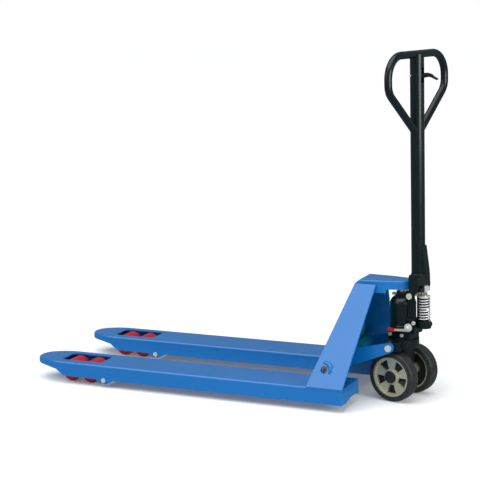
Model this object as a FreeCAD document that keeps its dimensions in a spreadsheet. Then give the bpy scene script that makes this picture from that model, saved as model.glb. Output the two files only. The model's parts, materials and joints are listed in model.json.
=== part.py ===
import FreeCAD, Part

import math
import os
import re

import Sketcher
from FreeCAD import Placement, Rotation, Vector

# A hand pallet truck: two forks on load rollers, a hydraulic pump on steered wheels, and a pump handle.
# Frame: +X towards the operator, +Y to the operator's right, +Z up, floor at z = 0.
# Most pieces are drawn in one of two local frames and then placed:
#   truck frame: x = 0 at the front face of the frame, where the free length of the forks is measured from
#   pump frame:  on the steering axis, x towards the handle, turned by the steering angle at rest

CELLS = {
    # whole truck
    "origin_shift": 367.757,
    "deck_long": 1140,
    "truck_wide": 560,
    "deck_high": 85,
    "lift_stroke": 110,
    # forks
    "fork_wide": 160,
    "skirt_low": 29,
    "sheet_thick": 5,
    "bend_radius": 8,
    "nose_run": 124,
    "nose_radius": 60,
    "nose_low": 65,
    "window_start": -1021,
    "window_end": -848,
    "window_half": 46,
    # load rollers and their lifting linkage
    "arm_pin_x": -818,
    "arm_pin_z": 28.6,
    "arm_pin_radius": 8,
    "arm_reach": 124.6,
    "roller_radius": 41,
    "roller_half": 35,
    "roller_gap": 84,
    "roller_axle_radius": 10,
    "roller_core_radius": 25,
    "entry_x": -1050,
    "entry_z": 60,
    "entry_radius": 12,
    # frame
    "heel_long": 134,
    "pillar_top_z": 414,
    "pillar_top_y": 62,
    "pillar_front_x": 104,
    "pillar_back_x": 182,
    "pillar_thick": 8,
    "plate_thick": 6,
    "bonnet_top": 427,
    "bonnet_low": 382,
    "bonnet_tail_low": 395,
    "bonnet_nose_radius": 36,
    # rocker
    "shaft_x": 54.5,
    "shaft_z": 141,
    "shaft_radius": 12.5,
    "rocker_pin_x": 242,
    "rocker_pin_z": 199.6,
    "rocker_pin_radius": 10,
    "rocker_arm_out": 108,
    "rocker_arm_in": 94,
    "lug_reach": 74,
    "lug_lean": 16.25,
    "crank_reach": 43.2,
    "crank_lean": 28.64,
    "rod_pin_radius": 7,
    "crank_pin_radius": 5.5,
    # steering
    "steer_x": 261.5,
    "steer_yaw": 13.8,
    "wheel_radius": 90,
    "wheel_out": 90,
    "wheel_in": 40,
    "tyre_bore": 71,
    "hub_radius": 25,
    "axle_radius": 10,
    "bearing_radius": 17,
    "neck_radius": 38,
    "ring_low": 191,
    "ring_high": 216,
    # pump
    "ram_radius": 17.5,
    "reservoir_radius": 46,
    "reservoir_low": 243,
    "pivot_x": 52,
    "pivot_z": 378,
    "pivot_radius": 7,
    "plunger_x": 88,
    "plunger_radius": 6.5,
    "plunger_top": 387.8,
    "spring_low": 287,
    "spring_high": 371,
    "spring_radius": 18.8,
    "spring_wire": 4,
    "spring_turns": 8.5,
    "cam_radius": 13,
    "cam_z": 401.6,
    # handle
    "tube_x": 64,
    "tube_radius": 24.3,
    "tube_wall": 3,
    "tube_low": 452,
    "loop_radius": 13.3,
    "loop_half": 178,
    "loop_top": 1212.5,
    "loop_waist": 1093,
    "loop_foot": 950,
    "trigger_x": 52,
    "trigger_z": 1141,
    "chain_x": 70,
    # running clearance of shafts in bores, on the radius
    "running_gap": 0.06,
}

doc = FreeCAD.newDocument("pallet_truck")
sheet = doc.addObject("Spreadsheet::Sheet", "dims")
for row, (alias, amount) in enumerate(CELLS.items(), start=1):
    sheet.set(f"A{row}", alias)
    sheet.set(f"B{row}", str(amount))
    sheet.setAlias(f"B{row}", alias)
doc.recompute()

NODES = {}
serial = iter(range(1, 10000))


def cell(alias):
    """The number in a cell, for places and outlines that are worked out here."""
    return float(sheet.get(alias))


def formula(text):
    """A cell formula: bare cell names get the sheet's name in front."""
    return re.sub(r"[a-z]\w+", lambda word: f"dims.{word[0]}" if word[0] in CELLS else word[0], str(text))


def bind(thing, prop, text):
    thing.setExpression(prop, formula(text))


def add(kind):
    return doc.addObject(kind, f"shape_{next(serial)}")


def block(x, y, z):
    """A box between two places along each axis."""
    box = add("Part::Box")
    for prop, axis, (low, high) in zip(("Length", "Width", "Height"), "xyz", (x, y, z)):
        bind(box, prop, f"({high}) - ({low})")
        bind(box, f"Placement.Base.{axis}", low)
    return box


TURNS = {
    "x": Rotation(Vector(0, 1, 0), 90),
    "y": Rotation(Vector(1, 0, 0), -90),
    "z": Rotation(),
}


def rod(axis, radius, low, high, first=0, second=0):
    """A cylinder along an axis, from low to high, with its centre at (first, second) on the other two axes."""
    bar = add("Part::Cylinder")
    bind(bar, "Radius", radius)
    bind(bar, "Height", f"({high}) - ({low})")
    bar.Placement = Placement(Vector(), TURNS[axis])
    places = {"x": (low, first, second), "y": (first, low, second), "z": (first, second, low)}[axis]
    for letter, place in zip("xyz", places):
        bind(bar, f"Placement.Base.{letter}", place)
    return bar


def fuse(*shapes):
    if len(shapes) == 1:
        return shapes[0]
    joined = add("Part::MultiFuse")
    joined.Shapes = list(shapes)
    return joined


def cut(base, *tools):
    left = add("Part::Cut")
    left.Base = base
    left.Tool = fuse(*tools)
    return left


def common(first, second):
    kept = add("Part::Common")
    kept.Base = first
    kept.Tool = second
    return kept


def group(*shapes):
    held = add("Part::Compound")
    held.Links = list(shapes)
    return held


def tube(axis, outer, inner, low, high, first=0, second=0):
    return cut(rod(axis, outer, low, high, first, second), rod(axis, inner, f"({low}) - 1", f"({high}) + 1", first, second))


def pin_at(sketch, geometry, end, place):
    """Fixes one vertex of a sketch at its place, in sketch coordinates."""
    for kind, other_axis, value in (("DistanceX", -2, place[0]), ("DistanceY", -1, place[1])):
        if value == 0:
            sketch.addConstraint(Sketcher.Constraint("PointOnObject", geometry, end, other_axis))
        else:
            sketch.addConstraint(Sketcher.Constraint(kind, -1, 1, geometry, end, value))


def outline(sketch, points):
    """A closed outline. A point is (u, v), or (u, v, um, vm) for an arc to it through (um, vm)."""
    for index, point in enumerate(points):
        start = points[index - 1]
        first = Vector(start[0], start[1], 0)
        last = Vector(point[0], point[1], 0)
        if len(point) == 4:
            sketch.addGeometry(Part.Arc(first, Vector(point[2], point[3], 0), last), False)
        else:
            sketch.addGeometry(Part.LineSegment(first, last), False)
    return len(points)


def sketched(body, plane, points, offset=0):
    """A sketch of one outline on a plane of the body, moved along the plane's normal."""
    sketch = body.newObject("Sketcher::SketchObject", f"sketch_{next(serial)}")
    support = [part for part in body.Origin.OriginFeatures if part.Role == f"{plane}_Plane"][0]
    sketch.AttachmentSupport = [(support, "")]
    sketch.MapMode = "FlatFace"
    bind(sketch, "AttachmentOffset.Base.z", offset)
    count = outline(sketch, points)
    if all(len(point) == 2 for point in points):
        for index in range(count):
            sketch.addConstraint(Sketcher.Constraint("Coincident", index, 2, (index + 1) % count, 1))
            pin_at(sketch, index, 2, points[index])
    else:
        for index in range(count):
            sketch.addConstraint(Sketcher.Constraint("Block", index))
    return sketch


def plate(plane, points, low, high):
    """A flat piece with the outline drawn on a plane, between two places along the plane's own axis."""
    body = add("PartDesign::Body")
    offset = f"-({high})" if plane == "XZ" else low
    sketch = sketched(body, plane, points, offset)
    pad = body.newObject("PartDesign::Pad", f"pad_{next(serial)}")
    pad.Profile = sketch
    bind(pad, "Length", f"({high}) - ({low})")
    return body


def lathe(points):
    """A turned piece: the outline is in (radius, height), turned about the body's Z axis."""
    body = add("PartDesign::Body")
    sketch = sketched(body, "XZ", points)
    turned = body.newObject("PartDesign::Revolution", f"turn_{next(serial)}")
    turned.Profile = sketch
    turned.ReferenceAxis = (sketch, ["V_Axis"])
    turned.Angle = 360
    return body


def tapered_bar(first, first_radius, second, second_radius, low, high):
    """A flat bar in the XZ plane between two round ends, its edges tangent to both."""
    ax, az = first
    bx, bz = second
    span = math.hypot(bx - ax, bz - az)
    along = math.atan2(bz - az, bx - ax)
    lean = math.acos((first_radius - second_radius) / span)
    corners = []
    for centre_x, centre_z, radius, side in (
        (ax, az, first_radius, -1),
        (bx, bz, second_radius, -1),
        (bx, bz, second_radius, 1),
        (ax, az, first_radius, 1),
    ):
        angle = along + side * lean
        corners.append((centre_x + radius * math.cos(angle), centre_z + radius * math.sin(angle)))
    return fuse(
        plate("XZ", corners, low, high),
        rod("y", first_radius, low, high, ax, az),
        rod("y", second_radius, low, high, bx, bz),
    )


def soften(base, radius, wanted):
    """Rounds the edges whose middle point passes the test."""
    doc.recompute()
    rounded = add("Part::Fillet")
    rounded.Base = base
    picked = []
    for index, edge in enumerate(base.Shape.Edges, start=1):
        middle = edge.valueAt((edge.FirstParameter + edge.LastParameter) / 2)
        if wanted(middle, edge):
            picked.append((index, radius, radius))
    rounded.Edges = picked
    return rounded


yaw = Rotation(Vector(0, 0, 1), -cell("steer_yaw"))
steer_place = Vector(cell("origin_shift") + cell("steer_x"), 0, 0)
FRAMES = {
    "truck": Placement(Vector(cell("origin_shift"), 0, 0), Rotation()),
    "pump": Placement(steer_place, yaw),
}
CROSSWAYS = {"truck": Vector(0, 1, 0), "pump": yaw.multVec(Vector(0, 1, 0))}


def name_node(name, shape, frame, local=None):
    """Makes a shape a sub-part: its label names the file, and its frame places it."""
    shape.Label = name
    shape.Placement = FRAMES[frame].multiply(local or Placement())
    if local is None:
        bind(shape, "Placement.Base.x", "origin_shift" if frame == "truck" else "origin_shift + steer_x")
    NODES[name] = shape
    return shape


def mirrored(source, normal=Vector(0, 1, 0), base=Vector()):
    image = add("Part::Mirroring")
    image.Source = source
    image.Normal = normal
    image.Base = base
    return image


def pair(name, shape, frame):
    """Two identical small pieces, one each side, that share a node as separate solids."""
    return name_node(name, group(shape, mirrored(shape)), frame)


def both_sides(name, shape, frame):
    """A left piece, built at negative y, and its mirror image on the right, as two nodes."""
    left = name_node(f"{name}_left", shape, frame)
    right = mirrored(left, CROSSWAYS[frame], FRAMES[frame].Base)
    right.Label = f"{name}_right"
    NODES[right.Label] = right


# ---------------------------------------------------------------- forks and frame

fork_mid = -(cell("truck_wide") - cell("fork_wide")) / 2
deck_end = -cell("deck_long")
gap = cell("running_gap")


def nose_outline(inset):
    """Seen from above: straight sides, then a nose of three tangent arcs, drawn inside the sheet by inset."""
    half, run, tip = cell("fork_wide") / 2, cell("nose_run"), cell("nose_radius")
    reach = run - tip
    side = (reach**2 + half**2 - tip**2) / (2 * (half - tip))
    shoulder = deck_end + run
    slope = math.atan2(side - half, reach)
    tip_centre = deck_end + tip

    def on_tip(angle):
        return tip_centre - (tip - inset) * math.cos(angle), (tip - inset) * math.sin(angle)

    def on_side(angle):
        return shoulder - (side - inset) * math.cos(angle), (side - inset) * math.sin(angle) - (side - half)

    join_x, join_y = on_tip(slope)
    mid_x, mid_y = on_side((slope + math.pi / 2) / 2)
    return [
        (1, fork_mid - half + inset),
        (1, fork_mid + half - inset),
        (shoulder, fork_mid + half - inset),
        (join_x, fork_mid + join_y, mid_x, fork_mid + mid_y),
        (join_x, fork_mid - join_y, deck_end + inset, fork_mid),
        (shoulder, fork_mid - half + inset, mid_x, fork_mid - mid_y),
    ]


def fork_shape():
    """A pressed channel, open below, with a closed wedge nose, a roller window and two bearing bosses."""
    top, low, sheet_t = cell("deck_high"), cell("skirt_low"), cell("sheet_thick")
    chin = deck_end + 114
    brow = cell("nose_low")
    y_range = (fork_mid - 100, fork_mid + 100)
    outer_side = [
        (0, low),
        (0, top),
        (deck_end - 10, top),
        (deck_end - 10, brow),
        (deck_end + 76, brow - 4),
        (chin, brow - 11),
        (chin + 32, low + 2),
        (cell("arm_pin_x") - 34, low + 1),
        (cell("arm_pin_x") - 16, 15.5),
        (cell("arm_pin_x") + 16, 15.5),
        (cell("arm_pin_x") + 40, low),
    ]
    inner_side = [
        (5, low - 20),
        (5, top - sheet_t),
        (deck_end - 10, top - sheet_t),
        (deck_end - 10, brow + sheet_t),
        (deck_end + 76, brow - 4 + sheet_t),
        (chin - 3, brow - 10 + sheet_t),
        (chin - 3, low - 20),
    ]
    outer = common(plate("XZ", outer_side, *y_range), plate("XY", nose_outline(0), 0, 120))
    outer = cut(outer, block((0, 10), y_range, (0, 130)))
    outer = soften(outer, cell("bend_radius"), lambda at, edge: at.z > top - 0.5 and at.x < -1)
    inner = common(plate("XZ", inner_side, *y_range), plate("XY", nose_outline(sheet_t), -10, 120))
    start, end, half = cell("window_start"), cell("window_end"), cell("window_half")
    window = soften(
        block((start, end), (fork_mid - half, fork_mid + half), (70, 100)),
        16,
        lambda at, edge: abs(at.z - 85) < 1,
    )
    bosses = [
        rod("y", 13, fork_mid + side * 76.5 - 5.5, fork_mid + side * 76.5 + 5.5, "arm_pin_x", "arm_pin_z")
        for side in (-1, 1)
    ]
    bore = rod("y", "arm_pin_radius", fork_mid - 90, fork_mid + 90, "arm_pin_x", "arm_pin_z")
    slot = block(("entry_x - 15", "entry_x + 15"), (fork_mid - 22, fork_mid + 22), (30, "entry_z + 10"))
    ears = [
        block(("entry_x - 6", "entry_x + 6"), (fork_mid + side * 25 - 3, fork_mid + side * 25 + 3), (63, 82))
        for side in (-1, 1)
    ]
    hole = rod("y", 4, fork_mid - 30, fork_mid + 30, "entry_x", "entry_z")
    shell = fuse(cut(outer, inner), heel_shape(), *bosses, *ears)
    seam = block((-1.2, -0.2), y_range, (top - 0.3, top + 10))
    return cut(shell, window, bore, slot, hole, seam)


def heel_shape():
    """The rear end of the channel, under the frame: closed behind, open below and over the rocker lug."""
    side_low, side_high = fork_mid - 80, fork_mid + 80
    outer = block((0, "heel_long"), (side_low, side_high), ("skirt_low", "deck_high"))
    hollow = block(
        (-1, "heel_long - sheet_thick"),
        (f"{side_low} + sheet_thick", f"{side_high} - sheet_thick"),
        (0, "deck_high - sheet_thick"),
    )
    mouth = block((8, 118), (fork_mid - 34, fork_mid + 24), (70, 100))
    arch = rod("x", 170, 100, 150, fork_mid + 22, "skirt_low - 160")
    return cut(outer, hollow, mouth, arch)


def slope_of_pillar():
    rise = cell("pillar_top_z") - cell("deck_high")
    run = cell("truck_wide") / 2 - cell("pillar_top_y")
    return math.hypot(rise, run), math.degrees(math.atan2(run, rise))


def bonnet_outline(inset):
    """Seen from above: straight sides that close in, tangent to a round tail about the steering axis."""
    radius = cell("bonnet_nose_radius") - inset
    centre = cell("steer_x")
    front = cell("pillar_front_x") + inset
    knee_x, knee_y = 205, 50 - inset
    reach = math.hypot(centre - knee_x, knee_y)
    lean = math.pi - math.atan2(knee_y, centre - knee_x) - math.acos(radius / reach)
    touch_x = centre + radius * math.cos(lean)
    touch_y = radius * math.sin(lean)
    return [
        (front, 60 - inset),
        (front, -60 + inset),
        (knee_x, -knee_y),
        (touch_x, -touch_y),
        (touch_x, touch_y, centre + radius, 0),
        (knee_x, knee_y),
    ]


def bonnet_solid():
    """The outside of the bonnet, before it is hollowed."""
    solid = plate("XY", bonnet_outline(0), "bonnet_low", "bonnet_top")
    under_tail = block((214, 320), (-80, 80), ("bonnet_low - 5", "bonnet_tail_low"))
    brow = plate("XZ", [(100, 414), (104, 414), (120, 428), (100, 428)], -80, 80)
    return cut(solid, under_tail, brow)


def bonnet_shape():
    top = cell("bonnet_top")
    rounded = soften(bonnet_solid(), 7, lambda at, edge: at.z > top - 0.1 and at.x > 121)
    inside = plate("XY", bonnet_outline(6), "bonnet_low - 5", "bonnet_top - 6")
    return cut(rounded, inside)


def pillar_solid():
    """A side plate in its own plane: u along the truck, v up its slope, thickness inwards."""
    length, tilt = slope_of_pillar()
    points = [
        (0 - 12 * 104 / length, -12),
        (cell("heel_long") - 12 * 48 / length, -12),
        (cell("pillar_back_x"), length),
        (cell("pillar_front_x"), length),
    ]
    body = plate("XY", points, "-pillar_thick", 0)
    body.Placement = Placement(Vector(0, -cell("truck_wide") / 2, cell("deck_high")), Rotation(Vector(1, 0, 0), 90 - tilt))
    return body


def pillar_shape():
    """The side plate with its shaft hole, trimmed on the heel and round the bonnet."""
    below = block((-20, 200), (-300, -100), (40, "deck_high"))
    hole = rod("y", "shaft_radius + 0.05", -290, -180, "shaft_x", "shaft_z")
    return cut(pillar_solid(), below, hole, bonnet_solid())


def front_plate_shape():
    """The front of the frame: leans back, between the two side plates, and ties the forks together below."""
    rise = cell("pillar_top_z") - cell("deck_high")
    run = cell("pillar_front_x")
    length = math.hypot(rise, run)
    half = cell("truck_wide") / 2
    points = [
        (-half, 0),
        (-119.5, 0),
        (-119.5, -44),
        (119.5, -44),
        (119.5, 0),
        (half, 0),
        (cell("pillar_top_y"), length),
        (-cell("pillar_top_y"), length),
    ]
    body = plate("YZ", points, 0, "plate_thick")
    body.Placement = Placement(
        Vector(0, 0, cell("deck_high")), Rotation(Vector(0, 1, 0), math.degrees(math.atan2(run, rise)))
    )
    left = pillar_solid()
    right = add("Part::Mirroring")
    right.Source = left
    right.Normal = Vector(0, 1, 0)
    under = [block((-30, 60), (side - 85, side + 85), (20, "deck_high")) for side in (fork_mid, -fork_mid)]
    return cut(body, left, right, bonnet_solid(), *under)


both_sides("fork", fork_shape(), "truck")
both_sides("pillar", pillar_shape(), "truck")
name_node("front_plate", front_plate_shape(), "truck")
name_node("bonnet", bonnet_shape(), "truck")
name_node(
    "ram_seat",
    cut(
        rod("z", 29, "bonnet_top - 26", "bonnet_top - 6", "steer_x", 0),
        rod("z", "ram_radius", 300, 410, "steer_x", 0),
    ),
    "truck",
)
name_node("ram", fuse(rod("z", "ram_radius", 104, 400, "steer_x", 0), rod("z", 12, 399, 410, "steer_x", 0)), "truck")
name_node("rocker_shaft", group(rod("y", "shaft_radius", -238, 238, "shaft_x", "shaft_z")), "truck")


def arm_pin_shape():
    """The pin that the roller arm turns on, with a head outside each skirt."""
    heads = [
        rod("y", 9, fork_mid - 84, fork_mid - 82, "arm_pin_x", "arm_pin_z"),
        rod("y", 9, fork_mid + 82, fork_mid + 84, "arm_pin_x", "arm_pin_z"),
    ]
    shank = rod("y", "arm_pin_radius", fork_mid - 82, fork_mid + 82, "arm_pin_x", "arm_pin_z")
    return fuse(shank, *heads)


pair("roller_arm_pins", arm_pin_shape(), "truck")
pair("entry_roller_pins", rod("y", 4, fork_mid - 28, fork_mid + 28, "entry_x", "entry_z"), "truck")
both_sides(
    "entry_roller",
    tube("y", "entry_radius", "4 + running_gap", fork_mid - 21, fork_mid + 21, "entry_x", "entry_z"),
    "truck",
)

# ---------------------------------------------------------------- rocker and push rods

shaft = (cell("shaft_x"), cell("shaft_z"))
rocker_pin = (cell("rocker_pin_x"), cell("rocker_pin_z"))
lug_angle = math.radians(cell("lug_lean"))
lug = (shaft[0] + cell("lug_reach") * math.sin(lug_angle), shaft[1] - cell("lug_reach") * math.cos(lug_angle))
crank_angle = math.radians(cell("crank_lean"))
crank = (
    cell("arm_pin_x") + cell("crank_reach") * math.sin(crank_angle),
    cell("arm_pin_z") + cell("crank_reach") * math.cos(crank_angle),
)


def along_arm(distance, height):
    """A place given along the rocker arm's centre line and square to it."""
    angle = math.atan2(rocker_pin[1] - shaft[1], rocker_pin[0] - shaft[0])
    return (
        shaft[0] + distance * math.cos(angle) - height * math.sin(angle),
        shaft[1] + distance * math.sin(angle) + height * math.cos(angle),
    )


def rocker_arm_shape():
    """A flat arm that is widest just behind its eye on the shaft tube and tapers to the yoke's pin."""
    low, high = "-rocker_arm_out", "-rocker_arm_in"
    bar = tapered_bar(shaft, 28, rocker_pin, 17.5, low, high)
    reach = math.hypot(rocker_pin[0] - shaft[0], rocker_pin[1] - shaft[1])
    edge = [(8, 27), (34, 31.2), (reach, 17.6)]
    cheek = [along_arm(distance, height) for distance, height in edge]
    cheek += [along_arm(distance, -height) for distance, height in reversed(edge)]
    return cut(
        fuse(bar, plate("XZ", cheek, low, high)),
        rod("y", 22, -120, -80, *shaft),
        rod("y", "rocker_pin_radius", -120, -80, *rocker_pin),
    )


def rocker_lug_shape():
    bar = tapered_bar(shaft, 27, lug, 12, fork_mid - 6, fork_mid + 6)
    return cut(bar, rod("y", 22, -230, -180, *shaft), rod("y", "rod_pin_radius", -230, -180, *lug))


rocker_web = plate("XZ", [along_arm(34, 20), along_arm(96, 15), along_arm(96, 25), along_arm(34, 30)], -93.9, 93.9)
name_node("rocker_tube", tube("y", 22, "shaft_radius + running_gap", -212, 212, *shaft), "truck")
both_sides("rocker_arm", rocker_arm_shape(), "truck")
pair("rocker_lugs", rocker_lug_shape(), "truck")
name_node("rocker_web", group(rocker_web), "truck")
pair(
    "rocker_pins",
    fuse(rod("y", "rocker_pin_radius", -113, -66, *rocker_pin), rod("y", 11.5, -114, -108, *rocker_pin)),
    "truck",
)
pair("push_rod_pins", rod("y", "rod_pin_radius", fork_mid - 13, fork_mid + 13, *lug), "truck")


def push_rod_shape():
    """A flat bar with a clevis on the rocker lug and, in front, an eye open at the top for the crank pin."""
    cheeks = [
        tapered_bar(lug, 9.5, (lug[0] - 46, lug[1]), 9.5, fork_mid + side - 2.5, fork_mid + side + 2.5)
        for side in (-9.5, 9.5)
    ]
    bridge = block((lug[0] - 57, lug[0] - 33), (fork_mid - 12, fork_mid + 12), (lug[1] - 11, lug[1] + 6))
    start, finish = (lug[0] - 50, lug[1] - 3), (crank[0] + 18, crank[1] + 2)
    bar = plate(
        "XZ",
        [(start[0], start[1] - 7), (start[0], start[1] + 7), (finish[0], finish[1] + 7), (finish[0], finish[1] - 7)],
        fork_mid - 8,
        fork_mid + 8,
    )
    eye = block((crank[0] - 14, crank[0] + 20), (fork_mid - 5, fork_mid + 5), (crank[1] - 15, 79))
    slot = block((crank[0] - 7.5, crank[0] + 7.5), (fork_mid - 20, fork_mid + 20), (crank[1] - 7, 90))
    bore = rod("y", "rod_pin_radius + running_gap", fork_mid - 20, fork_mid + 20, *lug)
    return cut(fuse(*cheeks, bridge, bar, eye), slot, bore)


both_sides("push_rod", push_rod_shape(), "truck")

# ---------------------------------------------------------------- roller arms and load rollers

bogie_z = cell("roller_radius")
bogie_x = cell("arm_pin_x") - math.sqrt(cell("arm_reach") ** 2 - (bogie_z - cell("arm_pin_z")) ** 2)
arm_pin = (cell("arm_pin_x"), cell("arm_pin_z"))
bogie = (bogie_x, bogie_z)


def roller_arm_shape():
    """Two side bars on a hub, with a crank above the hub for the push rod."""
    bars = [
        tapered_bar(arm_pin, 14, bogie, 13, fork_mid + side - 3.25, fork_mid + side + 3.25)
        for side in (-45.25, 45.25)
    ]
    hub = rod("y", 14, fork_mid - 48.5, fork_mid + 48.5, *arm_pin)
    cheeks = [
        tapered_bar(arm_pin, 13, crank, 7.5, fork_mid + side - 2.5, fork_mid + side + 2.5)
        for side in (-9, 9)
    ]
    crank_pin = rod("y", "crank_pin_radius", fork_mid - 10, fork_mid + 10, *crank)
    bore = rod("y", "arm_pin_radius + running_gap", fork_mid - 60, fork_mid + 60, *arm_pin)
    seats = rod("y", "7 + running_gap", fork_mid - 60, fork_mid + 60, *bogie)
    return cut(fuse(*bars, hub, *cheeks, crank_pin), bore, seats)


def bogie_shape():
    """A bogie: two link plates, each with a stub pin in the roller arm, and the two roller axles they hold."""
    half = cell("roller_gap") / 2
    ends = (bogie_x - half, bogie_x + half)
    axles = [rod("y", "roller_axle_radius", fork_mid - 41, fork_mid + 41, end, bogie_z) for end in ends]
    plates = []
    for side in (-1, 1):
        low, high = sorted((fork_mid + side * 36, fork_mid + side * 41))
        bar = tapered_bar((ends[0], bogie_z), 14, (ends[1], bogie_z), 14, low, high)
        stub_low, stub_high = sorted((fork_mid + side * 40, fork_mid + side * 49))
        holes = [rod("y", "roller_axle_radius", low - 1, high + 1, end, bogie_z) for end in ends]
        plates.append(cut(fuse(bar, rod("y", 7, stub_low, stub_high, *bogie)), *holes))
    return group(*plates, *axles)


both_sides("roller_arm", roller_arm_shape(), "truck")
both_sides("bogie", bogie_shape(), "truck")
for place, offset in (("front", -1), ("rear", 1)):
    roller_x = bogie_x + offset * cell("roller_gap") / 2
    low, high = f"{fork_mid} - roller_half", f"{fork_mid} + roller_half"
    tyre = tube("y", "roller_radius", "roller_core_radius", low, high, roller_x, bogie_z)
    core = tube("y", "roller_core_radius", "roller_axle_radius + running_gap", low, high, roller_x, bogie_z)
    both_sides(f"load_roller_{place}", group(tyre, core), "truck")

# ---------------------------------------------------------------- yoke round the pump's neck


def yoke_shape():
    """A ring that the pump turns in, with a slotted cheek each side for the rocker pins."""
    steer = cell("steer_x")
    ring = rod("z", 56, "ring_low", "ring_high", steer, 0)
    cheeks = [
        block((steer - 45, steer + 16), (low, high), ("ring_low - 7", "ring_high"))
        for low, high in ((-92, -56), (56, 92))
    ]
    bridge = block((steer - 45, steer + 16), (-60, 60), ("ring_low", "ring_high"))
    neck = rod("z", "neck_radius + running_gap", 150, 260, steer, 0)
    slots = [
        block(("rocker_pin_x - 11.5", "rocker_pin_x + 21"), (low, high), ("rocker_pin_z - 11", "rocker_pin_z + 11"))
        for low, high in ((-95, -62), (62, 95))
    ]
    return cut(fuse(ring, bridge, *cheeks), neck, *slots)


name_node("yoke", yoke_shape(), "truck")
name_node("thrust_bearing", tube("z", 52, 39, "ring_low - 6", "ring_low", "steer_x", 0), "truck")

# ---------------------------------------------------------------- pump, in the pump frame


def pump_body_shape():
    """The pump casting: neck and axle boss below, valve block, ear plates and the plunger barrel above."""
    neck = rod("z", "neck_radius", 62, 218, 0, 0)
    flange = rod("z", 52, "ring_low - 9", "ring_low - 6", 0, 0)
    boss = rod("y", 26, -38, 38, 0, "wheel_radius")
    base = soften(block((-44, 48), (-31, 31), (217, 244)), 6, lambda at, edge: abs(at.z - 230.5) < 6)
    step = block((30, 62), (-27, 27), (240, 264))
    barrel = rod("z", 23, 262, "spring_low", "plunger_x", 0)
    knob = rod("x", 8, 100, 115, 0, 279)
    guide = rod("z", 11, "spring_low - 1", "spring_low + 35", "plunger_x", 0)
    side_block = block((38, 66), (-34, 34), (256, 292))
    lever_boss = rod("y", 12, -48, -30, "pivot_x", 268)
    ears = [
        ear(low, high)
        for low, high in ((-32, -24), (24, 32))
    ]
    cylinder = rod("z", 24, 240, 378, 0, 0)
    bore = rod("z", "ram_radius + running_gap", 102, 400, 0, 0)
    plunger_bore = rod("z", "plunger_radius + running_gap", 265, 330, "plunger_x", 0)
    axle_bore = rod("y", "axle_radius", -60, 60, 0, "wheel_radius")
    pin_bore = rod("y", "pivot_radius", -60, 60, "pivot_x", "pivot_z")
    lever_bore = rod("y", 5, -60, -20, "pivot_x", 268)
    round_tank = rod("z", "reservoir_radius + 2", "reservoir_low", 372)
    outside = fuse(neck, flange, boss, base, step, barrel, knob, guide, side_block, lever_boss, *ears)
    whole = fuse(cut(outside, round_tank), cylinder)
    return cut(whole, bore, plunger_bore, axle_bore, pin_bore, lever_bore)


def ear(low, high):
    """One ear plate up to the handle's pivot."""
    pivot = (cell("pivot_x"), cell("pivot_z"))
    return tapered_bar(pivot, 12, (pivot[0] + 2, 282), 15, low, high)


FILLER = (-29.5, -12)


def reservoir_shape():
    """The oil tank: a pressed can with a rolled bead and a domed top, open round the ram cylinder."""
    radius = cell("reservoir_radius")
    low = cell("reservoir_low")
    wall = 3
    can = lathe(
        [
            (24.5, low),
            (radius, low),
            (radius, low + 16),
            (radius, low + 24, radius + 1.8, low + 20),
            (radius, 338),
            (radius - 14, 366, radius - 3, 354),
            (24.5, 371),
            (24.5, 371 - wall),
            (radius - 15, 366 - wall - 1),
            (radius - wall, 337, radius - 5.5, 352),
            (radius - wall, low + wall),
            (24.5, low + wall),
        ]
    )
    return cut(can, rod("z", 4.5, 355, 380, *FILLER))


name_node("pump_body", pump_body_shape(), "pump")
name_node("reservoir", reservoir_shape(), "pump")
name_node("wiper_ring", tube("z", 23.5, "ram_radius + running_gap", 378, 384), "pump")
name_node("filler_plug", fuse(rod("z", 7, 371, 377, *FILLER), rod("z", 4.5, 360, 380, *FILLER)), "pump")
name_node("wheel_axle", group(rod("y", "axle_radius", -84, 84, 0, "wheel_radius")), "pump")


def spoked_rim():
    """A cast wheel: hub, five broad spokes that widen outwards, and a rim that the tyre is bonded to."""
    out, inner = cell("wheel_out"), cell("wheel_in")
    rim = tube("y", "tyre_bore", "tyre_bore - 6", -out + 3, -inner - 3, 0, "wheel_radius")
    hub = rod("y", "hub_radius", -out + 4, -inner - 2, 0, "wheel_radius")
    disc = rod("y", "tyre_bore - 4", -out + 10, -out + 20, 0, "wheel_radius")
    windows = []
    half_angle = math.radians(17.5)
    for step in range(5):
        middle = math.radians(54 + 72 * step)
        corners = []
        for radius, side in ((30, -1), (63, -1), (63, 1), (30, 1)):
            angle = middle + side * half_angle
            corners.append((radius * math.cos(angle), cell("wheel_radius") + radius * math.sin(angle)))
        windows.append(plate("XZ", corners, -out, -inner))
    bore = rod("y", "bearing_radius + running_gap", -out, -inner, 0, "wheel_radius")
    return cut(fuse(rim, hub, disc), *windows, bore)


both_sides(
    "steer_tyre",
    soften(
        tube("y", "wheel_radius", "tyre_bore", "-wheel_out", "-wheel_in", 0, "wheel_radius"),
        6,
        lambda at, edge: math.hypot(at.x, at.z - 90) > 85 and not -80 < at.y < -50,
    ),
    "pump",
)
both_sides("steer_rim", spoked_rim(), "pump")
pair(
    "wheel_bearings",
    tube("y", "bearing_radius", "axle_radius", "-wheel_out + 8", "-wheel_in - 4", 0, "wheel_radius"),
    "pump",
)
pair("axle_caps", rod("y", 22, "-wheel_out - 1", "-wheel_out + 3.7", 0, "wheel_radius"), "pump")

# plunger and its return spring
name_node(
    "plunger",
    fuse(
        rod("z", "plunger_radius", 312, "plunger_top - 6", "plunger_x", 0),
        rod("z", 10, "plunger_top - 10", "plunger_top", "plunger_x", 0),
    ),
    "pump",
)
name_node(
    "spring_cap",
    tube("z", 20.8, "plunger_radius", "spring_high", "spring_high + 6", "plunger_x", 0),
    "pump",
)


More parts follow.
